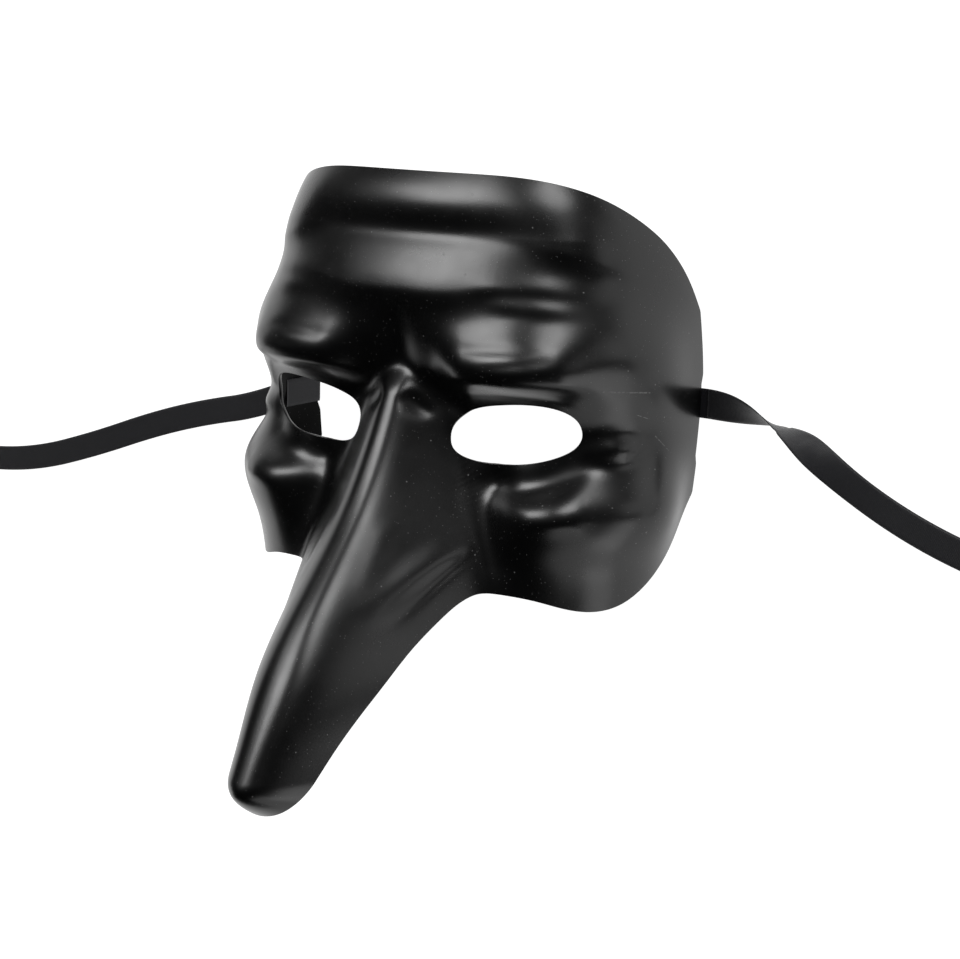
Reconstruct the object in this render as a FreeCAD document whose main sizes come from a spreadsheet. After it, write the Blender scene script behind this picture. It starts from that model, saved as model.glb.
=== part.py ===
"""Long-nosed costume half mask: a vacuum-formed plastic shell with two satin tie ribbons glued inside its sides.

Frame: the mask lies face up on the rims of its two side walls. +Z is the way the face looks, up from the
table, +Y points to the forehead and +X to the right as somebody facing the mask sees it. Lengths are mm.
"""
import FreeCAD, Part
import math
import os

Vector = FreeCAD.Vector

# ---------------------------------------------------------------- driving dimensions

DIMENSIONS = (
    ("half_width", 82.0, "half the width across the side walls at their rims"),
    ("face_depth", 54.0, "height of the eye line above the side rims, without the nose"),
    ("front_squareness", 0.14, "how much wider than an ellipse a cross-section is in front"),
    ("front_fullness", 0.17, "how much fuller than an ellipse a cross-section is at its corners"),
    ("wall_thickness", 1.3, "thickness of the formed plastic sheet"),
    ("eye_line_y", 20.3, "place of the eye line, so that the shell's box is centred on the origin"),
    ("root_height", 63.8, "height of the nose root above the side rims"),
    ("tip_height", 145.4, "height that the ridge line would have at the tip"),
    ("tip_round_start", 107.6, "from the eye line to where the tip starts to round off"),
    ("crease_softness", 5.0, "size of the soft crease between the nose and the face"),
    ("eye_spacing", 81.8, "from eye hole centre to eye hole centre"),
    ("eye_drop", 3.3, "eye hole centres below the eye line"),
    ("eye_half_length", 22.2, "half the length of an eye hole"),
    ("eye_half_height", 10.0, "half the height of an eye hole"),
    ("eye_tilt", 8.0, "degrees by which the outer corners of the eye holes are raised"),
    ("eye_squareness", 2.5, "exponent of the eye hole's superellipse"),
    ("ribbon_width", 10.0, "width of the satin ribbon"),
    ("ribbon_thickness", 0.4, "thickness of the satin ribbon"),
    ("ribbon_lift", 0.2, "gap between the table and the ribbon"),
    ("right_exit", 5.4, "right ribbon's place above the eye line"),
    ("left_exit", -7.0, "left ribbon's place above the eye line"),
    ("glued_length", 20.0, "length of ribbon glued up the inside of a side wall"),
    ("glued_face_x", 79.6, "from the middle of the face to the glued face of a ribbon end"),
    ("free_start_x", 84.5, "from the middle of the face to where a ribbon comes free of the mask"),
    ("glue_width", 8.0, "width of the glue patch"),
    ("glue_length", 14.0, "height of the glue patch"),
    ("glue_start", 3.0, "from the rim to the lower end of the glue patch"),
    ("glue_depth", 1.4, "thickness of the glue before it is pressed against the wall"),
)

doc = FreeCAD.newDocument("LongNosedMask")
sheet = doc.addObject("Spreadsheet::Sheet", "Dimensions")
for row, (alias, value, meaning) in enumerate(DIMENSIONS, start=1):
    sheet.set(f"A{row}", alias)
    sheet.set(f"B{row}", str(value))
    sheet.set(f"C{row}", meaning)
    sheet.setAlias(f"B{row}", alias)
doc.recompute()


def size(alias):
    return float(sheet.get(alias))


# ---------------------------------------------------------------- the face as a formula


def natural_spline(points):
    """The smooth function through (position, value) points, straight beyond its ends."""
    xs = [p[0] for p in points]
    ys = [p[1] for p in points]
    last = len(points) - 1
    gaps = [xs[i + 1] - xs[i] for i in range(last)]
    slopes = [(ys[i + 1] - ys[i]) / gaps[i] for i in range(last)]
    bends = [0.0] * (last + 1)
    pivots = [1.0] * (last + 1)
    for i in range(1, last):
        share = gaps[i - 1] / pivots[i - 1] if i > 1 else 0.0
        pivots[i] = 2 * (gaps[i - 1] + gaps[i]) - share * gaps[i - 1]
        bends[i] = 6 * (slopes[i] - slopes[i - 1]) - share * bends[i - 1]
    for i in range(last - 1, 0, -1):
        bends[i] = (bends[i] - gaps[i] * bends[i + 1]) / pivots[i]

    def value(x):
        if x < xs[0]:
            return ys[0] + (x - xs[0]) * (slopes[0] - gaps[0] * bends[1] / 6)
        if x > xs[last]:
            return ys[last] + (x - xs[last]) * (slopes[-1] + gaps[-1] * bends[last - 1] / 6)
        i = max(k for k in range(last) if x >= xs[k])
        gap = gaps[i]
        after = (x - xs[i]) / gap
        before = 1 - after
        sag = (before**3 - before) * bends[i] + (after**3 - after) * bends[i + 1]
        return before * ys[i] + after * ys[i + 1] + sag * gap * gap / 6

    return value


# Heights along the face, each as (distance above the eye line, value).
WIDTH = natural_spline(((-66, -6.2), (-35, -3.5), (10, 0), (40, -2.7), (65, -8.4), (84, -18.7)))
DEPTH = natural_spline(((-66, 6), (-30, 2), (0, 0), (25, 8.4), (50, 6.0), (60, 3.0), (70, 2.4), (84, -4.5)))
# How far the brow and the cheek stand out from the plain face, on a line through the middle of the eye.
RELIEF = natural_spline(((-66, 6.3), (-45, 9.7), (-25, 13.7), (-8, 4.2), (8, 4.7), (25, 5), (42, 0), (60, 0)))
RELIEF_TOP = 60
RELIEF_ANGLE = 48
RELIEF_SPREAD = 30
# The ridge line of the nose, and where its slope carries on over the root into the brow.
ROOT_Y = 6.8
ROOT_DROOP = 0.05
RIDGE = natural_spline((
    (-119, size("tip_height")), (-90, 130), (-60, 110.3), (-30, 84.8), (ROOT_Y, size("root_height")),
))
# How steeply the nose falls away from its ridge, and how widely the ridge is rounded.
NOSE_SLOPE = natural_spline((
    (-118, 2.1), (-100, 2.05), (-80, 1.98), (-60, 1.6), (-50, 1.45), (-30, 1.3), (ROOT_Y, 1.15),
))
NOSE_ROUNDING = natural_spline((
    (-118, 10), (-100, 11), (-80, 13.5), (-60, 8.8), (-50, 7.5), (-30, 6.5), (ROOT_Y, 5),
))
NOSE_SQUARENESS = 2.5
TIP_BLUNTNESS = 1.2
LOWEST_FACE_Y = -75


def plain_face(angle, y):
    """The face without its nose: x and z at an angle (radians) round the head from straight ahead."""
    y_face = max(y, LOWEST_FACE_Y)
    x = (size("half_width") + WIDTH(y_face)) * math.sin(angle)
    x *= 1 + size("front_squareness") * math.cos(angle) ** 2
    z = (size("face_depth") + DEPTH(y_face)) * math.cos(angle)
    z *= 1 + size("front_fullness") * math.sin(angle) ** 2
    around = (abs(math.degrees(angle)) - RELIEF_ANGLE) / RELIEF_SPREAD
    relief = RELIEF(y_face) * math.exp(-(around**4)) if y_face < RELIEF_TOP else 0.0
    return x + relief * math.sin(angle), z + relief * math.cos(angle)


def nose_height(x, y):
    """Height of the nose and beak, a rounded roof along the ridge line."""
    over_root = max(y - ROOT_Y, 0)
    ridge = RIDGE(y) - ROOT_DROOP * over_root**2
    slope = NOSE_SLOPE(min(y, ROOT_Y))
    rounding = NOSE_ROUNDING(min(y, ROOT_Y))
    past_tip = TIP_BLUNTNESS * max(-size("tip_round_start") - y, 0)
    power = NOSE_SQUARENESS
    drop = (math.hypot(x, past_tip) ** power + rounding**power) ** (1 / power) - rounding
    return ridge - slope * drop


def outer_point(angle, y):
    """A point of the outer surface. The higher of face and nose shows, with a soft crease between them."""
    x, z = plain_face(angle, y)
    nose = nose_height(x, y)
    softness = size("crease_softness")
    height = 0.5 * (z + nose + math.sqrt((z - nose) ** 2 + softness**2))
    return Vector(x, y + size("eye_line_y"), height)


def inner_point(angle, y):
    """The same place on the inside of the sheet, one wall thickness in along the surface's normal."""
    step = 0.002
    here = outer_point(angle, y)
    around = outer_point(angle + step, y) - outer_point(angle - step, y)
    along = outer_point(angle, y + step) - outer_point(angle, y - step)
    normal = around.cross(along)
    normal.normalize()
    return here - normal * size("wall_thickness")


# ---------------------------------------------------------------- the shell

SIDE_ANGLE = 104
COLUMNS = 84
ROWS = 64
CENTRE_DENSITY = 0.3
LOWEST_ROW = -124
HIGHEST_ROW = 92


def point_grid(point):
    """Points of a surface in columns across the face, closer together along the nose."""
    grid = []
    for i in range(COLUMNS + 1):
        across = 2 * i / COLUMNS - 1
        angle = math.radians(SIDE_ANGLE) * (CENTRE_DENSITY * across + (1 - CENTRE_DENSITY) * across**3)
        rows = [LOWEST_ROW + (HIGHEST_ROW - LOWEST_ROW) * j / ROWS for j in range(ROWS + 1)]
        grid.append([point(angle, y) for y in rows])
    return grid


def spline_face(grid):
    """A B-spline surface with the grid as its control points: cubic, or straight across only two columns."""
    degrees = [min(3, len(grid) - 1), min(3, len(grid[0]) - 1)]
    counts = [len(grid), len(grid[0])]
    knots = [list(range(count + 1 - degree)) for count, degree in zip(counts, degrees)]
    repeats = [[d + 1] + [1] * (len(k) - 2) + [d + 1] for k, d in zip(knots, degrees)]
    surface = Part.BSplineSurface()
    surface.buildFromPolesMultsKnots(grid, repeats[0], repeats[1], knots[0], knots[1], False, False, *degrees)
    return surface.toShape()


def untrimmed_sheet():
    """The formed sheet before trimming: an outer and an inner surface, closed along their four edges."""
    outer = point_grid(outer_point)
    inner = point_grid(inner_point)
    faces = [spline_face(outer), spline_face(inner)]
    faces += [spline_face([outer[end], inner[end]]) for end in (0, -1)]
    faces += [spline_face([[column[end] for column in grid] for grid in (outer, inner)]) for end in (0, -1)]
    shell = Part.makeShell(faces)
    shell.sewShape()
    solid = Part.makeSolid(shell)
    if solid.Volume < 0:
        solid.reverse()
    return solid


def spline_edge(points):
    curve = Part.BSplineCurve()
    curve.interpolate([Vector(0, y + size("eye_line_y"), z) for y, z in points])
    return curve.toShape()


# The trimmed edge as seen from the side, each point as (above the eye line, height).
# The side rims rest on the table at both ends, and clear the ribbons in between.
RIM_RELIEF = 1.2
CROWN_EDGE = ((36, 0), (46.4, 5.5), (54, 11), (60.8, 17.5), (66.6, 24.4), (71.3, 30.9), (74.7, 36.5), (77, 41.2),
              (78.5, 44.9), (79.5, 48.5), (79.8, 53))
LOWER_EDGE = ((-124, 132.5), (-118, 130), (-105.5, 121), (-97, 114), (-88, 106), (-80, 98), (-71, 88),
              (-62, 76), (-56.3, 67), (-55, 63), (-55.6, 58), (-58, 52.5), (-59.7, 45.4), (-58.3, 37.3), (-53.5, 29),
              (-46.6, 20.7), (-38.7, 13), (-31, 5.5), (-25.5, 0))
REST_LINE = ((-15.5, 0), (-12.5, RIM_RELIEF), (12, RIM_RELIEF), (15, 0))
ABOVE_ALL = 165
BEYOND_BOTH_SIDES = 260
EYE_CUT_LENGTH = 120
EYE_POINTS = 48


def side_outline():
    """Everything that the trimming keeps, drawn on the plane through the middle of the face."""
    shift = size("eye_line_y")
    start = LOWER_EDGE[0]
    end = CROWN_EDGE[-1]
    corners = [Vector(0, end[0] + shift, end[1])]
    corners += [Vector(0, end[0] + shift, ABOVE_ALL), Vector(0, start[0] + shift, ABOVE_ALL)]
    corners += [Vector(0, start[0] + shift, start[1])]
    rest = [Vector(0, y + shift, z) for y, z in (LOWER_EDGE[-1],) + REST_LINE + (CROWN_EDGE[0],)]
    edges = [spline_edge(LOWER_EDGE)]
    edges += [Part.makeLine(a, b) for a, b in zip(rest, rest[1:])]
    edges += [spline_edge(CROWN_EDGE)]
    edges += [Part.makeLine(a, b) for a, b in zip(corners, corners[1:])]
    return Part.Face(Part.Wire(Part.__sortEdges__(edges)))


def eye_outline():
    """The eye hole's superellipse about its own centre."""
    points = []
    for step in range(EYE_POINTS):
        turn = math.radians(360 * step / EYE_POINTS)
        power = 2 / size("eye_squareness")
        x = size("eye_half_length") * math.copysign(abs(math.cos(turn)) ** power, math.cos(turn))
        y = size("eye_half_height") * math.copysign(abs(math.sin(turn)) ** power, math.sin(turn))
        points.append(Vector(x, y, 0))
    curve = Part.BSplineCurve()
    curve.interpolate(points, PeriodicFlag=True)
    return Part.Face(Part.Wire([curve.toShape()]))


def code_feature(name, shape):
    feature = doc.addObject("Part::Feature", name)
    feature.Shape = shape
    return feature


def extrusion(name, base, direction, length, both_ways=False):
    feature = doc.addObject("Part::Extrusion", name)
    feature.Base = base
    feature.DirMode = "Custom"
    feature.Dir = direction
    feature.LengthFwd = length
    feature.Symmetric = both_ways
    feature.Solid = True
    return feature


formed_sheet = code_feature("formed_sheet", untrimmed_sheet())
kept_profile = code_feature("side_outline", side_outline())
kept_region = extrusion("kept_region", kept_profile, Vector(1, 0, 0), BEYOND_BOTH_SIDES, True)
trimmed_sheet = doc.addObject("Part::Common", "trimmed_sheet")
trimmed_sheet.Base = formed_sheet
trimmed_sheet.Tool = kept_region

eye_cutters = []
for side, sign in (("left", -1), ("right", 1)):
    outline = code_feature(f"eye_outline_{side}", eye_outline())
    cutter = extrusion(f"eye_cutter_{side}", outline, Vector(0, 0, 1), EYE_CUT_LENGTH)
    cutter.setExpression("Placement.Base.x", f"{sign} * Dimensions.eye_spacing / 2")
    cutter.setExpression("Placement.Base.y", "Dimensions.eye_line_y - Dimensions.eye_drop")
    cutter.setExpression("Placement.Rotation.Angle", f"{sign} * Dimensions.eye_tilt")
    eye_cutters.append(cutter)

both_eyes = doc.addObject("Part::MultiFuse", "both_eyes")
both_eyes.Shapes = eye_cutters
mask_shell = doc.addObject("Part::Cut", "mask_shell")
mask_shell.Base = trimmed_sheet
mask_shell.Tool = both_eyes
doc.recompute()


# ---------------------------------------------------------------- the ribbons


def box(name, length, width, height, corner):
    """A Part::Box whose sizes and corner are formulas over the spreadsheet."""
    feature = doc.addObject("Part::Box", name)
    for field, formula in zip(("Length", "Width", "Height"), (length, width, height)):
        feature.setExpression(field, formula)
    for axis, formula in zip("xyz", corner):
        feature.setExpression(f"Placement.Base.{axis}", formula)
    return feature


def glued_end(side, sign):
    """The end of a ribbon: flat under the rim, then up the inside of the side wall."""
    near = "Dimensions.glued_face_x - Dimensions.ribbon_thickness"
    low_y = f"Dimensions.eye_line_y + Dimensions.{side}_exit - Dimensions.ribbon_width / 2"
    start_x = near if sign > 0 else "-Dimensions.free_start_x"
    under = box(
        f"{side}_under_rim",
        f"Dimensions.free_start_x - ({near})",
        "Dimensions.ribbon_width",
        "Dimensions.ribbon_thickness",
        (start_x, low_y, "Dimensions.ribbon_lift"),
    )
    up = box(
        f"{side}_up_wall",
        "Dimensions.ribbon_thickness",
        "Dimensions.ribbon_width",
        "Dimensions.glued_length",
        (near if sign > 0 else "-Dimensions.glued_face_x", low_y, "Dimensions.ribbon_lift"),
    )
    end = doc.addObject("Part::MultiFuse", f"ribbon_end_{side}")
    end.Shapes = [under, up]
    return end


def glue_patch(side, sign):
    """Glue that fills the space between the ribbon and the wall."""
    blank = box(
        f"{side}_glue_blank",
        "Dimensions.glue_depth",
        "Dimensions.glue_width",
        "Dimensions.glue_length",
        (
            "Dimensions.glued_face_x" if sign > 0 else "-Dimensions.glued_face_x - Dimensions.glue_depth",
            f"Dimensions.eye_line_y + Dimensions.{side}_exit - Dimensions.glue_width / 2",
            "Dimensions.ribbon_lift + Dimensions.glue_start",
        ),
    )
    patch = doc.addObject("Part::Cut", f"glue_patch_{side}")
    patch.Base = blank
    patch.Tool = mask_shell
    return patch


# The free ribbons' routes on the table, as (right of the middle of the face, above the eye line). Each leaves
# its side wall, wanders off and ends in one loose open loop. The first point is at the ribbon's own exit.
RIGHT_ROUTE = ((112, 6), (137, -16), (167, -30), (199, -38), (231, -40), (259, -30), (278, -7), (275, 22),
               (253, 42), (224, 42), (203, 24), (199, -3))
LEFT_ROUTE = ((-108, -17), (-136, -23), (-163, -31), (-195, -43), (-227, -53), (-258, -57), (-290, -56),
              (-317, -43), (-332, -18), (-328, 11), (-306, 31), (-277, 31))
ARC_SHARE = 0.45


def rounded_path(route):
    """Straight runs along the route, joined by arcs as large as the runs allow."""
    points = [Vector(x, y + size("eye_line_y"), 0) for x, y in route]
    edges = []
    radii = []
    start = points[0]
    for before, corner, after in zip(points, points[1:], points[2:]):
        into = (corner - before).normalize()
        out = (after - corner).normalize()
        half_turn = into.getAngle(out) / 2
        reach = ARC_SHARE * min(corner.distanceToPoint(before), corner.distanceToPoint(after))
        radius = reach / math.tan(half_turn)
        radii.append(radius)
        towards_centre = (out - into).normalize()
        middle = corner + towards_centre * (radius / math.cos(half_turn) - radius)
        edges.append(Part.makeLine(start, corner - into * reach))
        start = corner + out * reach
        edges.append(Part.Arc(corner - into * reach, middle, start).toShape())
    edges.append(Part.makeLine(start, points[-1]))
    return Part.Wire(edges), radii


def free_ribbon(side, sign, route):
    """A strip of ribbon lying flat along its route."""
    start = (sign * size("free_start_x"), size(f"{side}_exit"))
    path, radii = rounded_path((start,) + route)
    first = path.Vertexes[0].Point
    direction = path.Edges[0].tangentAt(0)
    across = Vector(-direction.y, direction.x, 0) * (size("ribbon_width") / 2)
    rise = Vector(0, 0, size("ribbon_thickness"))
    corners = [first - across, first + across, first + across + rise, first - across + rise]
    section = Part.makePolygon(corners + corners[:1])
    strip = path.makePipeShell([section], True, True)
    ribbon = code_feature(f"ribbon_{side}", strip)
    ribbon.setExpression("Placement.Base.z", "Dimensions.ribbon_lift")
    expected = path.Length * size("ribbon_width") * size("ribbon_thickness")
    print(f"ribbon_{side}: {path.Length:.1f} mm, radii {[round(r, 1) for r in radii]},", end=" ")
    print(f"volume {strip.Volume:.1f} against {expected:.1f} mm3")
    return ribbon


sub_parts = [mask_shell]
for side, sign, route in (("left", -1, LEFT_ROUTE), ("right", 1, RIGHT_ROUTE)):
    sub_parts += [free_ribbon(side, sign, route), glued_end(side, sign), glue_patch(side, sign)]
doc.recompute()

# ---------------------------------------------------------------- checks and export

for item in doc.Objects:
    if "Invalid" in item.State or "Error" in item.State:
        raise RuntimeError(f"{item.Name} failed: {item.State}")
for part in sub_parts:
    if part.Shape.isNull() or not part.Shape.isValid() or len(part.Shape.Solids) != 1:
        raise RuntimeError(f"{part.Label} is not one valid solid")

os.makedirs("parts", exist_ok=True)
for part in sub_parts:
    part.Shape.exportStep(f"parts/{part.Label}.step")
    extent = part.Shape.optimalBoundingBox()
    low = (round(extent.XMin, 2), round(extent.YMin, 2), round(extent.ZMin, 2))
    high = (round(extent.XMax, 2), round(extent.YMax, 2), round(extent.ZMax, 2))
    print(part.Label, low, high, f"{part.Shape.Volume / 1000:.2f} cm3")
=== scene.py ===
"""Long-nosed costume half mask in black plastic, lying face up with its satin ribbons, for Blender 4.5.

Shapes are worked out in millimetres from the eye line, in the frame of the CAD model, and stored in metres.
"""
import math

import bpy
import numpy as np
from mathutils import Matrix, Vector


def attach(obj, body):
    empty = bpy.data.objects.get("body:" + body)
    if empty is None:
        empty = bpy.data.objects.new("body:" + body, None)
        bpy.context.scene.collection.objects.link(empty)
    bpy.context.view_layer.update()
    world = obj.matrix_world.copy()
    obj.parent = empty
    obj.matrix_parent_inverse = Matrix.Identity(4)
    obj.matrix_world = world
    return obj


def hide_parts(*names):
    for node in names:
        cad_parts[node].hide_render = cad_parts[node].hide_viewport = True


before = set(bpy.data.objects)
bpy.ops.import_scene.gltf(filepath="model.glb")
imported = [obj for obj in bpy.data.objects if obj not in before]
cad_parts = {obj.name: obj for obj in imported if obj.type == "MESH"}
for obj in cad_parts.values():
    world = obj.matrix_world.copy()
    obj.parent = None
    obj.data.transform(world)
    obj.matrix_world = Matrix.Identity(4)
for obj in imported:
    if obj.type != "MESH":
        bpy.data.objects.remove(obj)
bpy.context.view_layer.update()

MM = 0.001
EYE_LINE_Y = 20.3  # millimetres from the origin up to the eye line

# ---------------------------------------------------------------- smooth functions


def natural_spline(points):
    """The smooth function through (position, value) points, straight beyond its ends. It takes arrays."""
    xs = np.array([p[0] for p in points], float)
    ys = np.array([p[1] for p in points], float)
    gaps = np.diff(xs)
    slopes = np.diff(ys) / gaps
    size = len(xs)
    system = np.eye(size)
    wanted = np.zeros(size)
    for i in range(1, size - 1):
        system[i, i - 1:i + 2] = gaps[i - 1], 2 * (gaps[i - 1] + gaps[i]), gaps[i]
        wanted[i] = 6 * (slopes[i] - slopes[i - 1])
    bends = np.linalg.solve(system, wanted)

    def value(x):
        x = np.asarray(x, float)
        i = np.clip(np.searchsorted(xs, x) - 1, 0, size - 2)
        gap = gaps[i]
        after = np.clip((x - xs[i]) / gap, 0, 1)
        before = 1 - after
        sag = (before**3 - before) * bends[i] + (after**3 - after) * bends[i + 1]
        inside = before * ys[i] + after * ys[i + 1] + sag * gap**2 / 6
        low = (slopes[0] - gaps[0] * bends[1] / 6) * np.minimum(x - xs[0], 0)
        high = (slopes[-1] + gaps[-1] * bends[-2] / 6) * np.maximum(x - xs[-1], 0)
        return inside + low + high

    return value


# ---------------------------------------------------------------- folds and wrinkles


def smooth_line(points, pieces=8):
    """Points of a smooth curve through the given ones, by distance along them."""
    points = np.array(points, float)
    at = np.concatenate([[0], np.cumsum(np.linalg.norm(np.diff(points, axis=0), axis=1))])
    fine = np.linspace(0, at[-1], pieces * (len(points) - 1) + 1)
    axes = [natural_spline(list(zip(at, points[:, k])))(fine) for k in range(points.shape[1])]
    return np.stack(axes, -1)


# Each stroke is a soft ridge along a smooth line of (|x|, y, height) points, or a groove where the height is
# negative: its width on the left of the line, its width on the right, and the points.
FACE_FOLDS = (
    # the groove below the crown's edge, and the broad fold of the forehead
    (5.0, 4.0, ((-12, 60.5, -0.9), (0, 60.5, -0.9), (20, 60.5, -0.9), (34, 60.5, -0.7), (48, 60, -0.4),
                (64, 58, 0))),
    (12.0, 6.5, ((-12, 43, 2.0), (0, 43, 2.0), (15, 43, 2.1), (28, 44.5, 2.0), (42, 46, 1.4), (56, 46, 0.8),
                 (72, 44, 0))),
    # side folds of the forehead
    (8.0, 4.0, ((28, 63, 0), (44, 60.5, 0.7), (52, 58, 1.2), (60, 55.5, 1.2), (68, 52, 0.7), (78, 46, 0))),
    (3.5, 2.6, ((20, 44, 0), (36, 45, 0.5), (48, 45, 0.6), (58, 44, 0.5), (72, 42, 0))),
    (3.2, 2.8, ((28, 40, 0), (42, 39.5, 0.7), (50, 39, 0.9), (58, 38.5, 0.6), (70, 37, 0))),
    # brow: its broad ridge and the folds on it
    (11.0, 5.5, ((7, 14, 0), (14, 14.8, 2.4), (21, 15.4, 5.6), (30, 15.8, 7.4), (42, 16.2, 7.8),
                 (52, 16.4, 6.8), (60, 16.6, 4.8), (70, 17, 2.0), (80, 17.6, 0))),
    (2.0, 2.0, ((18, 24, 0), (34, 25, -0.4), (44, 25.5, -0.4), (60, 25, 0))),
    (1.8, 1.8, ((28, 19.5, 0), (42, 20.5, -0.3), (50, 22, -0.35), (62, 23.5, 0))),
    # the lid's fine crease
    (1.1, 1.1, ((20, 8, 0), (32, 10.4, -0.4), (45, 10.8, -0.4), (56, 9.5, -0.3), (66, 4, 0))),
    # the bag below the eye: the crease above it and its crest
    (6.0, 4.5, ((26, -19, 0), (36, -20, -2.6), (45, -20.5, -3.4), (54, -19, -3.2), (61, -15.5, -2.2),
                (67, -11, -0.8), (73, -7, 0))),
    (6.5, 4.0, ((44, -29, 0), (54, -29, 1.0), (62, -28.5, 1.6), (68, -27.5, 1.0), (76, -24, 0))),
    # the hollow between the brows, and the hollows beside the bridge
    (8.0, 8.0, ((0, 44, 0), (0, 36, -1.2), (0, 28, -2.6), (0, 18, -3.2), (0, 10, -2.6), (0, -2, 0))),
    (4.5, 5.0, ((4, 9, -0.5), (13, 6.5, -2.4), (20, 5.5, -2.0), (30, 6, 0))),
    # the outer corner's small fold
    (4.5, 4.0, ((58, -6, 0), (66, -6.5, 1.6), (71, -6.5, 2.6), (80, -7, 0))),
    # the crease between nose and cheek
    (9.0, 10.0, ((20, -4, 0), (32, -17, -3.0), (36, -26, -5.0), (38, -34, -5.0), (39.5, -43, -3.2),
                 (41, -52, -1.2), (43, -66, 0))),
)
NOSE_FOLDS = (
    # the small fold beside the bridge
    (2.2, 2.2, ((3, 9, 0), (6, 6, -1.0), (9, 3, -1.4), (12, 1.5, -0.8), (16, 1.5, 0))),
    # the nostril wing, the crease behind it and the shallow fold beside it
    (3.0, 5.5, ((34, -37, 0), (28, -42, 1.8), (24, -47, 2.4), (20, -53, 2.0), (17, -60, 0.8), (15, -68, 0))),
    (2.2, 2.0, ((34, -40, 0), (30, -45, -1.0), (26, -52, -1.2), (23, -60, -0.7), (21, -68, 0))),
    (3.0, 3.0, ((10, -28, 0), (12, -38, 0.5), (13, -48, 0.5), (14, -58, 0))),
)

FADE_SHARE = 0.3  # the share of its length over which a stroke fades in or out
SIDE_CHANGE = 1.5  # how far from its line a stroke changes from its left width to its right width
LINE_PIECES = 5
FAR = 1e9


def smooth_step(x):
    """0 up to 0, 1 from 1 on, and smooth between."""
    x = np.clip(x, 0, 1)
    return x * x * (3 - 2 * x)


def stroke_height(x, y, left, right, points):
    """Height of one stroke at arrays of places. It fades out sideways, and at an end whose height is 0."""
    line = smooth_line(points, LINE_PIECES)
    reach = 3 * max(left, right)
    near = ((x > line[:, 0].min() - reach) & (x < line[:, 0].max() + reach)
            & (y > line[:, 1].min() - reach) & (y < line[:, 1].max() + reach))
    px, py = x[near], y[near]
    best = np.full(px.shape, FAR)
    signed = np.zeros(px.shape)
    height = np.zeros(px.shape)
    share = np.zeros(px.shape)
    at = np.linspace(0, 1, len(line))
    for k, (start, end) in enumerate(zip(line[:-1], line[1:])):
        run = end - start
        size = math.hypot(run[0], run[1])
        dx, dy = px - start[0], py - start[1]
        along = np.clip((dx * run[0] + dy * run[1]) / size**2, 0, 1)
        off = np.hypot(dx - along * run[0], dy - along * run[1])
        closer = off < best
        best = np.where(closer, off, best)
        signed = np.where(closer, (run[0] * dy - run[1] * dx) / size, signed)
        height = np.where(closer, start[2] + along * run[2], height)
        share = np.where(closer, at[k] + along * (at[k + 1] - at[k]), share)
    for end, away in ((0, share), (-1, 1 - share)):
        if points[end][2] == 0:
            height = height * smooth_step(away / FADE_SHARE)
    width = right + (left - right) * (0.5 + 0.5 * np.tanh(signed / SIDE_CHANGE))
    result = np.zeros(x.shape)
    result[near] = height * np.exp(-(best / width)**2)
    return result


def folds(strokes, x, y):
    """Height of all the strokes together. Both sides of the face have them."""
    x, y = np.broadcast_arrays(np.abs(x), y)
    total = np.zeros(x.shape)
    for left, right, points in strokes:
        total += stroke_height(x, y, left, right, points)
    return total


# ---------------------------------------------------------------- the plain face and the nose

HALF_WIDTH = 82.0
FACE_DEPTH = 54.0
FRONT_SQUARENESS = 0.14  # how much wider than an ellipse a cross-section is in front
FRONT_FULLNESS = 0.17  # how much fuller than an ellipse a cross-section is at its corners
WALL = 1.3
# Along the face, each as (above the eye line, value). RELIEF is how far brow and cheek stand out.
WIDTH = natural_spline(((-66, -6.2), (-35, -3.5), (10, 0), (40, -2.7), (65, -8.4), (84, -18.7)))
DEPTH = natural_spline(((-66, 6), (-30, 2), (0, 0), (25, 8.4), (50, 5.7), (60, 3.2), (70, 2.3), (84, -4.5)))
RELIEF = natural_spline(((-66, 6.3), (-45, 9.7), (-25, 13.7), (-8, 4.2), (8, 4.7), (25, 5), (42, 0), (60, 0)))
RELIEF_TOP = 60
RELIEF_ANGLE = 48
RELIEF_SPREAD = 30
TIP_HEIGHT = 145.4
ROOT_HEIGHT = 63.8
ROOT_Y = 6.8
ROOT_DROOP = 0.05
RIDGE = natural_spline(((-119, TIP_HEIGHT), (-90, 130), (-60, 110.3), (-30, 84.8), (ROOT_Y, ROOT_HEIGHT)))
# How steeply the nose falls away from its ridge, and how widely the ridge is rounded.
NOSE_SLOPE = natural_spline((
    (-118, 2.1), (-100, 2.05), (-80, 1.98), (-60, 1.6), (-50, 1.45), (-30, 1.3), (ROOT_Y, 1.15),
))
NOSE_ROUNDING = natural_spline((
    (-118, 10), (-100, 11), (-80, 13.5), (-60, 8.8), (-50, 7.5), (-30, 6.5), (ROOT_Y, 5),
))
NOSE_SQUARENESS = 2.5
TIP_ROUND_START = -107.6
TIP_BLUNTNESS = 1.2
CREASE_SOFTNESS = 5.0
FACE_RADIUS = 80  # about how round the face is, which turns a step along it into an angle
NORMAL_STEP = 0.7
LOWEST_FACE_Y = -75


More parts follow.
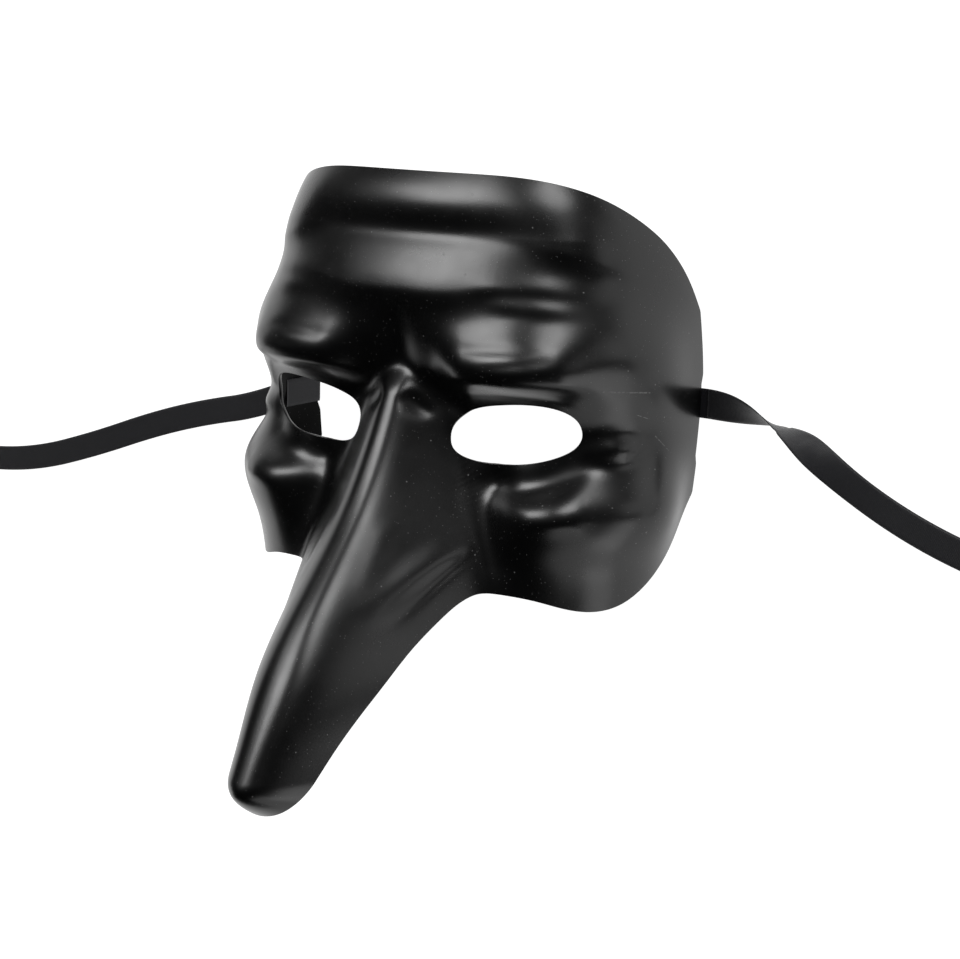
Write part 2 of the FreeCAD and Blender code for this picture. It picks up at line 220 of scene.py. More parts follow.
def plain_face(angle, y):
    """The face without its nose: x and z at an angle (radians) round the head from straight ahead."""
    y_face = np.maximum(y, LOWEST_FACE_Y)
    x = (HALF_WIDTH + WIDTH(y_face)) * np.sin(angle) * (1 + FRONT_SQUARENESS * np.cos(angle)**2)
    z = (FACE_DEPTH + DEPTH(y_face)) * np.cos(angle) * (1 + FRONT_FULLNESS * np.sin(angle)**2)
    around = (np.abs(np.degrees(angle)) - RELIEF_ANGLE) / RELIEF_SPREAD
    relief = np.where(y_face < RELIEF_TOP, RELIEF(y_face), 0) * np.exp(-around**4)
    x, z = x + relief * np.sin(angle), z + relief * np.cos(angle)
    fold = folds(FACE_FOLDS, x, y)
    return x + fold * np.sin(angle), z + fold * np.cos(angle)


def nose_height(x, y):
    """Height of the nose and beak, a rounded roof along the ridge line."""
    over_root = np.maximum(y - ROOT_Y, 0)
    ridge = RIDGE(y) - ROOT_DROOP * over_root**2
    slope = NOSE_SLOPE(np.minimum(y, ROOT_Y))
    rounding = NOSE_ROUNDING(np.minimum(y, ROOT_Y))
    past_tip = TIP_BLUNTNESS * np.maximum(TIP_ROUND_START - y, 0)
    out = np.hypot(x, past_tip)
    drop = (out**NOSE_SQUARENESS + rounding**NOSE_SQUARENESS)**(1 / NOSE_SQUARENESS) - rounding
    return ridge - slope * drop + folds(NOSE_FOLDS, x, y)


def outer_point(angle, y):
    """Points of the outer surface. The higher of face and nose shows, with a soft crease between them."""
    x, z = plain_face(angle, y)
    nose = nose_height(x, y)
    height = 0.5 * (z + nose + np.sqrt((z - nose)**2 + CREASE_SOFTNESS**2))
    return np.stack([x, y + 0 * x, height], -1)


def unit(vectors):
    return vectors / (np.linalg.norm(vectors, axis=-1, keepdims=True) + 1e-12)


def outer_normal(angle, y):
    turn = NORMAL_STEP / FACE_RADIUS
    around = outer_point(angle + turn, y) - outer_point(angle - turn, y)
    along = outer_point(angle, y + NORMAL_STEP) - outer_point(angle, y - NORMAL_STEP)
    return unit(np.cross(around, along))


# ---------------------------------------------------------------- trimming

# The trimmed edge seen from the side, each point as (above the eye line, height).
CROWN_EDGE = ((36, 0), (46.4, 5.5), (54, 11), (60.8, 17.5), (66.6, 24.4), (71.3, 30.9), (74.7, 36.5),
              (77, 41.2), (78.5, 44.9), (79.5, 48.5), (79.8, 53))
LOWER_EDGE = ((-124, 132.5), (-118, 130), (-105.5, 121), (-97, 114), (-88, 106), (-80, 98), (-71, 88),
              (-62, 76), (-56.3, 67), (-55, 63), (-55.6, 58), (-58, 52.5), (-59.7, 45.4), (-58.3, 37.3),
              (-53.5, 29), (-46.6, 20.7), (-38.7, 13), (-31, 5.5), (-25.5, 0))
RIM_RELIEF = 1.2
REST_LINE = ((-15.5, 0), (-12.5, RIM_RELIEF), (12, RIM_RELIEF), (15, 0))
ABOVE_ALL = 165


def side_outline():
    """The trimmed edge seen from the side, as a closed line of (y, z) points."""
    top = smooth_line(CROWN_EDGE)
    low = smooth_line(LOWER_EDGE)
    above = np.array([(top[-1, 0], ABOVE_ALL), (low[0, 0], ABOVE_ALL)])
    return np.vstack([low, REST_LINE, top, above])


SIDE_OUTLINE = side_outline()


def distance_inside(points, outline):
    """Signed distance of (n, 2) points to a closed line, positive inside it."""
    best = np.full(len(points), FAR)
    winding = np.zeros(len(points), bool)
    for a, b in zip(outline, np.roll(outline, -1, axis=0)):
        run = b - a
        share = np.clip(((points - a) @ run) / (run @ run + 1e-12), 0, 1)
        best = np.minimum(best, np.linalg.norm(points - a - share[:, None] * run, axis=1))
        if a[1] != b[1]:
            crosses = (a[1] > points[:, 1]) != (b[1] > points[:, 1])
            at = a[0] + (points[:, 1] - a[1]) * run[0] / run[1]
            winding ^= crosses & (points[:, 0] < at)
    return np.where(winding, best, -best)


EYE_X = 40.9
EYE_Y = -3.3
EYE_HALF_LENGTH = 22.2
EYE_HALF_HEIGHT = 10.0
EYE_TILT = math.radians(8)
EYE_SQUARENESS = 2.5
FACING_COSINE = 0.3  # the eye holes cut only the front of the face


def outside_eye(x, y):
    """About how far, in millimetres, a point is outside the eye holes."""
    across = np.abs(x) - EYE_X
    up = y - EYE_Y
    long = (across * math.cos(EYE_TILT) + up * math.sin(EYE_TILT)) / EYE_HALF_LENGTH
    high = (up * math.cos(EYE_TILT) - across * math.sin(EYE_TILT)) / EYE_HALF_HEIGHT
    size = (np.abs(long)**EYE_SQUARENESS + np.abs(high)**EYE_SQUARENESS)**(1 / EYE_SQUARENESS)
    return (size - 1) * EYE_HALF_HEIGHT


def kept(angle, y):
    """Positive where the trimmed sheet is, zero along its edges."""
    points = outer_point(angle, y)
    flat = points.reshape(-1, 3)
    trimmed = distance_inside(flat[:, 1:], SIDE_OUTLINE).reshape(angle.shape)
    facing = np.cos(angle) > FACING_COSINE
    return np.where(facing, np.minimum(trimmed, outside_eye(points[..., 0], y)), trimmed)


# ---------------------------------------------------------------- the shell's mesh

SIDE_ANGLE = math.radians(104)
CENTRE_DENSITY = 0.45
LOWEST_ROW = -121.5
HIGHEST_ROW = 84
SPACING = 0.9
AROUND = 260  # about how far it is round the face from side to side
SNAP_SHARE = 0.3  # a vertex nearer to an edge than this share of a cell slides onto it
LONGEST_SLIDE = 0.5
SLIDES = 3
PROBE = 0.02
HALVINGS = 12


def grid_parameters():
    """Angles and heights of the grid that the sheet is cut from, with closer columns along the nose."""
    columns = int(AROUND / SPACING)
    rows = int((HIGHEST_ROW - LOWEST_ROW) / SPACING)
    across = np.linspace(-1, 1, columns + 1)
    angles = SIDE_ANGLE * (CENTRE_DENSITY * across + (1 - CENTRE_DENSITY) * across**3)
    heights = np.linspace(LOWEST_ROW, HIGHEST_ROW, rows + 1)
    return np.meshgrid(angles, heights, indexing="ij")


def cut_sheet():
    """The trimmed sheet as (angle, y) of each vertex and the faces between them."""
    angle, y = grid_parameters()
    inside = kept(angle, y)
    d_angle = np.gradient(angle, axis=0)
    d_y = np.gradient(y, axis=1)
    # Vertices close to an edge of the sheet slide onto it, so that no thin faces are cut.
    for _ in range(SLIDES):
        by_angle = (kept(angle + PROBE * d_angle, y) - kept(angle - PROBE * d_angle, y)) / (2 * PROBE)
        by_y = (kept(angle, y + PROBE * d_y) - kept(angle, y - PROBE * d_y)) / (2 * PROBE)
        steepness = by_angle**2 + by_y**2 + 1e-9
        slide = -inside / steepness
        near = np.abs(inside) < SNAP_SHARE * np.sqrt(steepness)
        near &= np.abs(slide) * np.sqrt(steepness) < LONGEST_SLIDE
        angle = np.where(near, angle + slide * by_angle * d_angle, angle)
        y = np.where(near, y + slide * by_y * d_y, y)
        inside = np.where(near, kept(angle, y), inside)
        inside = np.where(near & (np.abs(inside) < 1e-3), 0, inside)
    columns, rows = angle.shape
    places = np.stack([angle.ravel(), y.ravel()], -1)
    values = inside.ravel()
    index = np.arange(columns * rows).reshape(columns, rows)
    links = np.concatenate([np.stack([index[:-1].ravel(), index[1:].ravel()], -1),
                            np.stack([index[:, :-1].ravel(), index[:, 1:].ravel()], -1)])
    links = links[values[links[:, 0]] * values[links[:, 1]] < 0]
    # The sheet's edge crosses these grid lines. Halving finds where.
    lows, highs = places[links[:, 0]], places[links[:, 1]]
    low_sign = np.sign(values[links[:, 0]])
    for _ in range(HALVINGS):
        middles = (lows + highs) / 2
        same = np.sign(kept(middles[:, 0], middles[:, 1])) == low_sign
        lows = np.where(same[:, None], middles, lows)
        highs = np.where(same[:, None], highs, middles)
    crossings = {tuple(link): len(places) + k for k, link in enumerate(links.tolist())}
    places = np.vstack([places, (lows + highs) / 2])

    corners = np.stack([index[:-1, :-1], index[1:, :-1], index[1:, 1:], index[:-1, 1:]], -1).reshape(-1, 4)
    signs = values[corners]
    whole = (signs >= 0).all(1) & (signs > 0).any(1)
    faces = corners[whole].tolist()
    partly = ~whole & (signs > 0).any(1)
    for quad in corners[partly].tolist():
        outline = []
        for i, j in zip(quad, quad[1:] + quad[:1]):
            if values[i] >= 0:
                outline.append(i)
            if values[i] * values[j] < 0:
                outline.append(crossings[min(i, j), max(i, j)])
        if len(outline) > 2:
            faces.append(outline)
    used = sorted({i for face in faces for i in face})
    renumber = {old: new for new, old in enumerate(used)}
    places = places[used]
    return places[:, 0], places[:, 1], [[renumber[i] for i in face] for face in faces]


def rims(faces):
    """The sheet's border edges as pairs of vertices, each with the sheet on its left seen from outside."""
    seen = {edge: True for face in faces for edge in zip(face, face[1:] + face[:1])}
    return np.array([(i, j) for i, j in seen if (j, i) not in seen])


def in_frame(points):
    """Face coordinates in millimetres to the frame's metres."""
    return (np.asarray(points, float) + (0, EYE_LINE_Y, 0)) * MM


def new_mesh(name, points, faces, normals=None):
    """A smooth-shaded object from points in face coordinates."""
    mesh = bpy.data.meshes.new(name)
    mesh.from_pydata(in_frame(points).tolist(), [], [list(map(int, f)) for f in faces])
    mesh.polygons.foreach_set("use_smooth", [True] * len(mesh.polygons))
    if normals is not None:
        mesh.normals_split_custom_set_from_vertices(np.asarray(normals).tolist())
    thing = bpy.data.objects.new(name, mesh)
    bpy.context.scene.collection.objects.link(thing)
    return thing


RIM_ROUNDING = 0.2
RIM_LEAN = 0.6  # how far the rim's shading leans towards the outer and the inner face


def mask_shell():
    """The whole moulded shell as one closed mesh: outer face, rounded cut rims and inner face."""
    angle, y, faces = cut_sheet()
    outer, normal = outer_point(angle, y), outer_normal(angle, y)
    inner = outer - WALL * normal
    border = rims(faces)
    along = unit(outer[border[:, 1]] - outer[border[:, 0]])
    outward = np.zeros_like(outer)
    for k in (0, 1):
        away = np.cross(along, normal[border[:, k]])
        np.add.at(outward, border[:, k], away)
    outward = unit(outward)
    rim = np.unique(border)
    place = {int(v): k for k, v in enumerate(rim)}
    count = len(outer)
    front = outer[rim] - RIM_ROUNDING * normal[rim] + RIM_ROUNDING * outward[rim]
    back = inner[rim] + RIM_ROUNDING * normal[rim] + RIM_ROUNDING * outward[rim]
    points = np.vstack([outer, inner, front, back])
    normals = np.vstack([normal, -normal, unit(outward[rim] + RIM_LEAN * normal[rim]),
                         unit(outward[rim] - RIM_LEAN * normal[rim])])
    every = [list(f) for f in faces] + [[count + i for i in reversed(f)] for f in faces]
    front_of = {v: 2 * count + k for v, k in place.items()}
    back_of = {v: 2 * count + len(rim) + k for v, k in place.items()}
    for i, j in border.tolist():
        every.append([j, i, front_of[i], front_of[j]])
        every.append([front_of[j], front_of[i], back_of[i], back_of[j]])
        every.append([back_of[j], back_of[i], count + i, count + j])
    shell = new_mesh("moulded_shell", points, every, normals)
    shell.data.materials.append(mask_material("black_satin_plastic"))
    # The inner faces: partly matte plastic, partly painted shade for the hollow of the mask.
    shell.data.materials.append(mask_material("black_matte_inside_painted_shade", inside=True))
    sides = np.zeros(len(every), dtype=np.int32)
    sides[len(faces):2 * len(faces)] = 1
    shell.data.polygons.foreach_set("material_index", sides)
    return shell


# ---------------------------------------------------------------- ribbons

RIBBON_WIDTH = 10.0
RIBBON_THICKNESS = 0.4
RIBBON_LIFT = 0.2
RIGHT_EXIT = 5.4
LEFT_EXIT = -7.0
FREE_START_X = 84.5
FLAT = RIBBON_LIFT + RIBBON_THICKNESS / 2
GLUED_FACE_X = 79.6
GLUED_LENGTH = 20.0
GLUED_BEND = 0.6
GLUE_WIDTH = 8.0
GLUE_LENGTH = 14.0
GLUE_START = 3.0
GLUE_DEPTH = 1.2
GLUE_OVERLAP = 0.02
GLUE_FULLNESS = 0.93  # the glue's size before its edge is made uneven, as a share of the patch
TWIST_SHARPNESS = 1.8
TWIST_RISE = 7.5  # how far the guide point at the right ribbon's half twist stands above the others
# Guide points on the table, in millimetres: right of the middle, above the eye line, and the rise if any.
RIGHT_ROUTE = ((112, 6, TWIST_RISE), (137, -16), (167, -30), (199, -38), (231, -40), (259, -30), (278, -7),
               (275, 22), (253, 42), (224, 42), (203, 24), (199, -3))
LEFT_ROUTE = ((-108, -17), (-136, -23), (-163, -31), (-195, -43), (-227, -53), (-258, -57), (-290, -56),
              (-317, -43), (-332, -18), (-328, 11), (-306, 31), (-277, 31))
PATH_POINTS = 160
THINNED_EDGE = 0.55  # the ribbon's thickness at its two edges, as a share of the rest
RIBBON_LANES = 12
GLUED_LANES = 8


def centre_line(points, name):
    """The ribbon's centre line, a smooth curve guided by the route's points."""
    curve = bpy.data.curves.new(name, "CURVE")
    curve.dimensions = "3D"
    spline = curve.splines.new("NURBS")
    spline.points.add(len(points) - 1)
    for point, at in zip(spline.points, in_frame(points)):
        point.co = (*at, 1)
    spline.order_u = 3
    spline.use_endpoint_u = True
    spline.resolution_u = 24
    thing = bpy.data.objects.new(name, curve)
    bpy.context.scene.collection.objects.link(thing)
    mesh = bpy.data.meshes.new_from_object(thing)
    line = np.array([v.co[:] for v in mesh.vertices])
    bpy.data.meshes.remove(mesh)
    bpy.data.objects.remove(thing)
    bpy.data.curves.remove(curve)
    return line / MM - (0, EYE_LINE_Y, 0)


def by_length(line, spacing):
    """A line's points spaced evenly along it."""
    at = np.concatenate([[0], np.cumsum(np.linalg.norm(np.diff(line, axis=0), axis=1))])
    fine = np.linspace(0, at[-1], int(at[-1] / spacing) + 1)
    return fine, np.stack([np.interp(fine, at, line[:, k]) for k in range(3)], -1)


def ribbon(name, exit_point, route):
    """A satin ribbon along its route. Where a guide point rises, it turns over, on edge half-way."""
    line = centre_line([(p[0], p[1], FLAT + sum(p[2:])) for p in (exit_point, *route)], name)
    path = line[np.linspace(0, len(line) - 1, PATH_POINTS).astype(int)]
    distance, spots = by_length(line, 1.0)
    along = unit(np.gradient(spots * (1, 1, 0), axis=0))
    rise = np.clip((spots[:, 2] - FLAT) / (RIBBON_WIDTH / 2), 0, 1)
    roll = np.arcsin(rise**TWIST_SHARPNESS)
    if rise.max() > 0.5:
        roll = np.where(np.arange(len(roll)) > np.argmax(rise), math.pi - roll, roll)
    side = unit(np.cross((0, 0, 1), along))
    up = np.cross(along, side)
    across = side * np.cos(roll)[:, None] + up * np.sin(roll)[:, None]
    face = -side * np.sin(roll)[:, None] + up * np.cos(roll)[:, None]
    return strip_mesh(name, spots, across, face, RIBBON_LANES), path, distance[-1]


def strip_mesh(name, spots, across, face, lanes):
    """A strip of ribbon along spots, with its width along across and its thickness along face."""
    places = np.linspace(-1, 1, lanes + 1)
    half = np.where(np.abs(places) > 0.99, THINNED_EDGE, 1)[None, :, None] * RIBBON_THICKNESS / 2
    middle = spots[:, None, :] + across[:, None, :] * (places * RIBBON_WIDTH / 2)[None, :, None]
    points = np.concatenate([(middle + face[:, None, :] * half).reshape(-1, 3),
                             (middle - face[:, None, :] * half).reshape(-1, 3)])
    rows, wide = len(spots), lanes + 1
    index = np.arange(rows * wide).reshape(rows, wide)
    under = index + rows * wide
    faces = []
    for i in range(rows - 1):
        for k in range(lanes):
            faces.append((index[i, k], index[i + 1, k], index[i + 1, k + 1], index[i, k + 1]))
            faces.append((under[i, k + 1], under[i + 1, k + 1], under[i + 1, k], under[i, k]))
        for k, turn in ((0, 1), (lanes, -1)):
            quad = (index[i, k], under[i, k], under[i + 1, k], index[i + 1, k])
            faces.append(quad[::turn])
    for i, turn in ((0, -1), (rows - 1, 1)):
        for k in range(lanes):
            quad = (index[i, k], index[i, k + 1], under[i, k + 1], under[i, k])
            faces.append(quad[::turn])
    strip = new_mesh(name, points, [f[::-1] for f in faces])
    uv = strip.data.uv_layers.new(name="lay")
    run = np.concatenate([[0], np.cumsum(np.linalg.norm(np.diff(spots, axis=0), axis=1))])
    long = np.tile(np.repeat(run, wide), 2)
    lane = np.tile(np.tile(places, rows), 2) * RIBBON_WIDTH / 2
    for loop in strip.data.loops:
        uv.data[loop.index].uv = (long[loop.vertex_index] * MM, lane[loop.vertex_index] * MM)
    return strip


def glued_end(name, sign, exit_y):
    """A ribbon's glued end: in under the rim, round a small bend and up the inside of the side wall."""
    inside = GLUED_FACE_X - RIBBON_THICKNESS / 2
    turn = np.radians(np.linspace(0, 90, 9))
    bend = np.stack([inside + GLUED_BEND * (1 - np.sin(turn)), FLAT + GLUED_BEND * (1 - np.cos(turn))], -1)
    rise = np.linspace(bend[-1, 1], RIBBON_LIFT + GLUED_LENGTH, 24)[1:]
    under = np.stack([np.linspace(FREE_START_X, bend[0, 0], 7)[:-1], np.full(6, FLAT)], -1)
    up = np.stack([np.full(len(rise), inside), rise], -1)
    profile = np.vstack([under, bend, up])
    away = unit(np.gradient(profile, axis=0))
    count = len(profile)
    spots = np.stack([sign * profile[:, 0], np.full(count, exit_y), profile[:, 1]], -1)
    across = np.tile([0.0, sign, 0.0], (count, 1))
    face = np.stack([sign * away[:, 1], np.zeros(count), -away[:, 0]], -1)
    return strip_mesh(name, spots, across, face, GLUED_LANES)


def glue_blob(name, sign, exit_y):
    """Hot glue squeezed out between the ribbon and the wall: a flat cushion with an uneven edge."""
    rings, spokes = 9, 40
    points, faces = [], []
    for wall_side in (False, True):
        for ring in range(rings + 1):
            share = ring / rings
            for spoke in range(spokes):
                angle = 2 * math.pi * spoke / spokes
                uneven = 1 + 0.05 * math.sin(3 * angle + exit_y) + 0.03 * math.sin(7 * angle + 1.7 * exit_y)
                out = share * uneven * GLUE_FULLNESS
                squared = (abs(math.cos(angle))**4 + abs(math.sin(angle))**4) ** -0.25
                y = exit_y + GLUE_WIDTH / 2 * out * squared * math.cos(angle)
                z = RIBBON_LIFT + GLUE_START + GLUE_LENGTH / 2 * (1 + out * squared * math.sin(angle))
                bulge = GLUE_DEPTH * (1 - share**4) * (1 + 0.08 * math.sin(5 * angle) * share)
                points.append((sign * (GLUED_FACE_X + (bulge if wall_side else -GLUE_OVERLAP)), y, z))
    for layer in (0, 1):
        base = layer * (rings + 1) * spokes
        for ring in range(rings):
            for spoke in range(spokes):
                nxt = (spoke + 1) % spokes
                quad = (base + ring * spokes + spoke, base + ring * spokes + nxt,
                        base + (ring + 1) * spokes + nxt, base + (ring + 1) * spokes + spoke)
                faces.append(quad if (layer == 1) == (sign > 0) else quad[::-1])
    edge = rings * spokes
    for spoke in range(spokes):
        nxt = (spoke + 1) % spokes
        across = edge + (rings + 1) * spokes
        quad = (edge + spoke, edge + nxt, across + nxt, across + spoke)
        faces.append(quad if sign > 0 else quad[::-1])
    return new_mesh(name, np.array(points), faces)


# ---------------------------------------------------------------- materials


class Nodes:
    """A short way to write a material's nodes."""

    def __init__(self, name):
        self.material = bpy.data.materials.new(name)
        self.material.use_nodes = True
        self.tree = self.material.node_tree
        self.shader = self.tree.nodes["Principled BSDF"]

    def add(self, kind, settings=None, **inputs):
        node = self.tree.nodes.new("ShaderNode" + kind)
        for key, value in (settings or {}).items():
            setattr(node, key, value)
        for key, value in inputs.items():
            self.set(node, key.replace("_", " "), value)
        return node

    def set(self, node, key, value):
        socket = node.inputs[int(key) if key.isdigit() else key]
        if isinstance(value, bpy.types.NodeSocket):
            self.tree.links.new(value, socket)
        else:
            socket.default_value = value

    def math(self, operation, a, b=0.0, clamp=False):
        node = self.tree.nodes.new("ShaderNodeMath")
        node.operation = operation
        node.use_clamp = clamp
        self.set(node, "0", a)
        self.set(node, "1", b)
        return node.outputs[0]

    def vector(self, operation, a, b, output="Vector"):
        node = self.tree.nodes.new("ShaderNodeVectorMath")
        node.operation = operation
        self.set(node, "0", a)
        self.set(node, "1", b)
        return node.outputs[output]

    def ramp(self, value, low, high, bottom=0.0, top=1.0):
        node = self.add("MapRange", {"interpolation_type": "SMOOTHSTEP"})
        sockets = ("Value", "From Min", "From Max", "To Min", "To Max")
        for key, what in zip(sockets, (value, low, high, bottom, top)):
            self.set(node, key, what)
        return node.outputs[0]

    def mix(self, share, a, b):
        node = self.add("Mix", {"data_type": "RGBA"})
        self.set(node, "0", share)
        self.set(node, "6", a)
        self.set(node, "7", b)
        return node.outputs[2]


# Fine pale scratches on the right side wall: both ends as (y, z) in face coordinates, and half the width.
SCRATCHES = (
    ((13.2, 45.5), (12.3, 31.0), 0.32),
    ((-2.5, 26.0), (-8.0, 20.0), 0.25),
    ((5.0, 34.0), (3.5, 30.0), 0.2),
)
SCRATCHED_FROM = 0.055  # metres right of the middle
# Specks of dust in three sizes: cells per metre, the share of clean cells, and a speck's size in its cell.
DUST = ((420.0, 0.93, 0.15), (800.0, 0.80, 0.15), (1500.0, 0.90, 0.22))


def scratch(m, where, start, end, half_width):
    """A share from 0 to 1 that is 1 along a fine straight scratch, as seen from the right."""
    start, end = (Vector(in_frame((0, *p))) for p in (start, end))
    run = end - start
    from_start = m.vector("SUBTRACT", m.vector("MULTIPLY", where, (0, 1, 1)), start[:])
    reached = m.vector("DOT_PRODUCT", from_start, run[:], "Value")
    along = m.math("DIVIDE", reached, run.length_squared, clamp=True)
    foot = m.add("VectorMath", {"operation": "SCALE"})
    foot.inputs[0].default_value = run[:]
    m.set(foot, "Scale", along)
    off = m.vector("LENGTH", m.vector("SUBTRACT", from_start, foot.outputs[0]), (0, 0, 0), "Value")
    wander = m.add("TexNoise", Vector=where, Scale=900.0, Detail=2.0).outputs["Fac"]
    thin = m.ramp(off, 0.2 * half_width * MM, half_width * MM, 1.0, 0.0)
    right = m.ramp(m.add("SeparateXYZ", Vector=where).outputs[0], SCRATCHED_FROM, SCRATCHED_FROM + MM)
    return m.math("MULTIPLY", m.math("MULTIPLY", thin, right), m.ramp(wander, 0.35, 0.6))


def mask_material(name, inside=False):
    """Black vacuum-formed plastic: satin gloss outside with dust and scratches, duller inside. The inside's
    low gloss is partly the plastic's matte inner face and partly painted shade for the hollow of the mask.
    """
    m = Nodes(name)
    where = m.add("TexCoord").outputs["Object"]
    cloud = m.add("TexNoise", Vector=where, Scale=38.0, Detail=4.0, Roughness=0.6).outputs["Fac"]
    grain = m.add("TexNoise", Vector=where, Scale=1500.0, Detail=3.0).outputs["Fac"]
    dust = 0.0
    for scale, share, size in DUST:
        specks = m.add("TexVoronoi", {"feature": "F1"}, Vector=where, Scale=scale)
        rare = m.ramp(m.add("SeparateColor", Color=specks.outputs["Color"]).outputs[0], share, share + 0.005)
        small = m.ramp(specks.outputs["Distance"], size / 3, size, 1.0, 0.0)
        dust = m.math("ADD", dust, m.math("MULTIPLY", rare, small), clamp=True)
    pale = dust
    if not inside:
        for start, end, half_width in SCRATCHES:
            pale = m.math("ADD", pale, scratch(m, where, start, end, half_width), clamp=True)
    black = (0.0010, 0.0010, 0.0011, 1)
    m.set(m.shader, "Base Color", m.mix(pale, black, (0.10, 0.10, 0.10, 1)))
    low, high = (0.50, 0.58) if inside else (0.27, 0.33)
    rough = m.math("ADD", m.ramp(cloud, 0.3, 0.7, low, high), m.math("MULTIPLY", pale, 0.3))
    m.set(m.shader, "Roughness", rough)
    # Inside, the very low gloss is partly matte plastic and partly painted shade for the hollow under the
    # mask.
    m.set(m.shader, "Specular IOR Level", 0.04 if inside else 0.5)
    bump = m.add("Bump", Height=grain, Strength=0.2 if inside else 0.12, Distance=0.0001)
    m.set(m.shader, "Normal", bump.outputs[0])
    return m.material


THREAD_SPACING = 0.00042
PICK_SPACING = 0.00055
FREE_SATIN_GLOSS = 0.35
# The glued ends' lower gloss and sheen are painted shade, for the shade they lie in inside the mask.
SHADED_GLUED_SATIN_GLOSS = 0.1


def satin_material(name, specular):
    """Black satin ribbon, woven from fine lengthwise threads and finer cross threads. A lower gloss gives a
    darker copy, which is painted shade.
    """
    m = Nodes(name)
    uv = m.add("UVMap", {"uv_map": "lay"}).outputs[0]
    parts = m.add("SeparateXYZ", Vector=uv)
    along, across = parts.outputs[0], parts.outputs[1]
    threads = m.math("SINE", m.math("MULTIPLY", across, 2 * math.pi / THREAD_SPACING))
    picks = m.math("SINE", m.math("MULTIPLY", along, 2 * math.pi / PICK_SPACING))
    weave = m.math("ADD", m.math("MULTIPLY", threads, 0.6), m.math("MULTIPLY", picks, 0.4))
    m.set(m.shader, "Base Color", (0.012, 0.012, 0.014, 1))
    m.set(m.shader, "Roughness", 0.42)
    m.set(m.shader, "Sheen Weight", 0.1 * specular / FREE_SATIN_GLOSS)
    m.set(m.shader, "Specular IOR Level", specular)
    bump = m.add("Bump", Height=weave, Strength=0.25, Distance=0.0002)
    m.set(m.shader, "Normal", bump.outputs[0])
    return m.material


def glue_material():
    """Cloudy hot-melt glue."""
    m = Nodes("hot_melt_glue")
    where = m.add("TexCoord").outputs["Object"]
    ripple = m.add("TexNoise", Vector=where, Scale=420.0, Detail=3.0).outputs["Fac"]
    cloud = m.add("TexNoise", Vector=where, Scale=260.0, Detail=2.0).outputs["Fac"]
    tint = m.mix(m.ramp(cloud, 0.3, 0.7), (0.42, 0.40, 0.34, 1), (0.60, 0.58, 0.50, 1))
    m.set(m.shader, "Base Color", tint)
    m.set(m.shader, "Roughness", m.ramp(ripple, 0.3, 0.7, 0.22, 0.38))
    m.set(m.shader, "Subsurface Weight", 0.3)
    m.set(m.shader, "Subsurface Scale", 0.002)
    bump = m.add("Bump", Height=ripple, Strength=0.3, Distance=0.0003)
    m.set(m.shader, "Normal", bump.outputs[0])
    return m.material


# ---------------------------------------------------------------- the pieces

satin = satin_material("black_satin_ribbon", FREE_SATIN_GLOSS)
# A darker copy of the same satin, with gloss and sheen lowered, paints the shade on the glued ends inside the
# mask.
shaded_glued_satin = satin_material("black_satin_glued_painted_shade", SHADED_GLUED_SATIN_GLOSS)

shell = mask_shell()
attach(shell, "root")
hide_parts("mask_shell")

for name, exit_point, route in (
    ("tie_ribbon_left", (-FREE_START_X, LEFT_EXIT), LEFT_ROUTE),
    ("tie_ribbon_right", (FREE_START_X, RIGHT_EXIT), RIGHT_ROUTE),
):
    strip, path, length = ribbon(name, exit_point, route)
    strip.data.materials.append(satin)
    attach(strip, "root")
    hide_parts("ribbon_left" if "left" in name else "ribbon_right")

glue = glue_material()
for side, sign, exit_y in (("left", -1, LEFT_EXIT), ("right", 1, RIGHT_EXIT)):
    end = glued_end(f"glued_end_{side}", sign, exit_y)
    blob = glue_blob(f"glue_{side}", sign, exit_y)
    for piece, node, paint, slot in ((end, f"ribbon_end_{side}", shaded_glued_satin, "ribbon_satin"),
                                     (blob, f"glue_patch_{side}", glue, "hot_glue")):
        piece.data.materials.append(paint)
        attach(piece, "root")
        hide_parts(node)

# ---------------------------------------------------------------- stage

FLOOR_SIZE = 60
bpy.ops.mesh.primitive_plane_add(size=FLOOR_SIZE)
floor = bpy.context.object
floor.name = "floor"
floor_paint = Nodes("pale_floor")
floor_paint.set(floor_paint.shader, "Base Color", (0.25, 0.25, 0.25, 1))
floor_paint.set(floor_paint.shader, "Roughness", 0.9)
floor_paint.set(floor_paint.shader, "Emission Color", (1, 1, 1, 1))
floor_paint.set(floor_paint.shader, "Emission Strength", 1.0)
floor.data.materials.append(floor_paint.material)

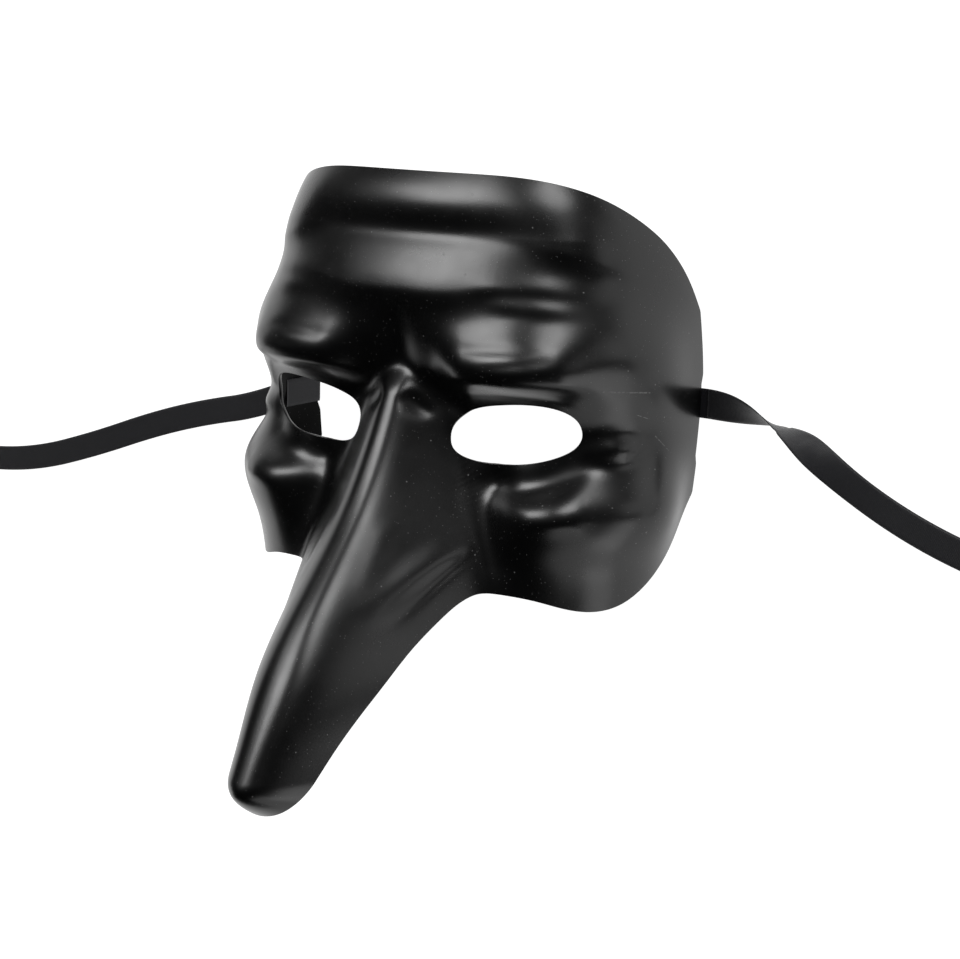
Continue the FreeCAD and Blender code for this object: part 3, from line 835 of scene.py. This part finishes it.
CAMERA_PLACE = (425.28, 123.65, 642.18)
CAMERA_YAW = math.radians(33.916)
CAMERA_PITCH = math.radians(11.415)
CAMERA_ROLL = math.radians(1.463)
LENS = 82.43
SENSOR = 36
NEAREST = 0.05
FARTHEST = 20
DARK_ROOM = 0.006
AIM = (0, 0, 0.05)

camera_data = bpy.data.cameras.new("camera")
camera_data.lens = LENS
camera_data.sensor_width = SENSOR
camera_data.sensor_fit = "HORIZONTAL"
camera_data.clip_start = NEAREST
camera_data.clip_end = FARTHEST
camera = bpy.data.objects.new("camera", camera_data)
turn = Matrix.Rotation(CAMERA_YAW, 4, "Y") @ Matrix.Rotation(-CAMERA_PITCH, 4, "X")
turn = turn @ Matrix.Rotation(CAMERA_ROLL, 4, "Z")
camera.matrix_world = Matrix.Translation(Vector(in_frame(CAMERA_PLACE))) @ turn
bpy.context.scene.collection.objects.link(camera)
bpy.context.scene.camera = camera


def softbox(name, direction, distance, size, power):
    """A rectangular area light that looks at the mask from a direction."""
    data = bpy.data.lights.new(name, "AREA")
    data.shape = "RECTANGLE"
    data.size, data.size_y = size
    data.energy = power
    lamp = bpy.data.objects.new(name, data)
    towards = Vector(direction).normalized()
    lamp.location = Vector(AIM) + towards * distance
    lamp.rotation_euler = towards.to_track_quat("Z", "Y").to_euler()
    bpy.context.scene.collection.objects.link(lamp)


# Each light: name, direction from the mask, distance in metres, size in metres and power in watts.
softbox("key", (-0.35, 0.60, 0.72), 1.2, (0.62, 0.46), 9)
softbox("side", (0.36, 0.79, 0.50), 1.3, (0.44, 0.38), 6)
softbox("card", (0.85, -0.45, 0.22), 1.3, (1.0, 0.5), 3.5)
softbox("front", (0.45, -0.8, 0.35), 1.3, (0.8, 0.9), 2.4)
softbox("fill", (0.92, 0.36, 0.16), 1.3, (0.6, 0.4), 0.9)
softbox("left", (-0.92, -0.38, 0.12), 1.2, (0.4, 0.3), 0.45)

world = bpy.data.worlds.new("studio")
world.use_nodes = True
world.node_tree.nodes["Background"].inputs["Color"].default_value = (1, 1, 1, 1)
world.node_tree.nodes["Background"].inputs["Strength"].default_value = DARK_ROOM
bpy.context.scene.world = world
bpy.context.scene.view_settings.view_transform = "Standard"
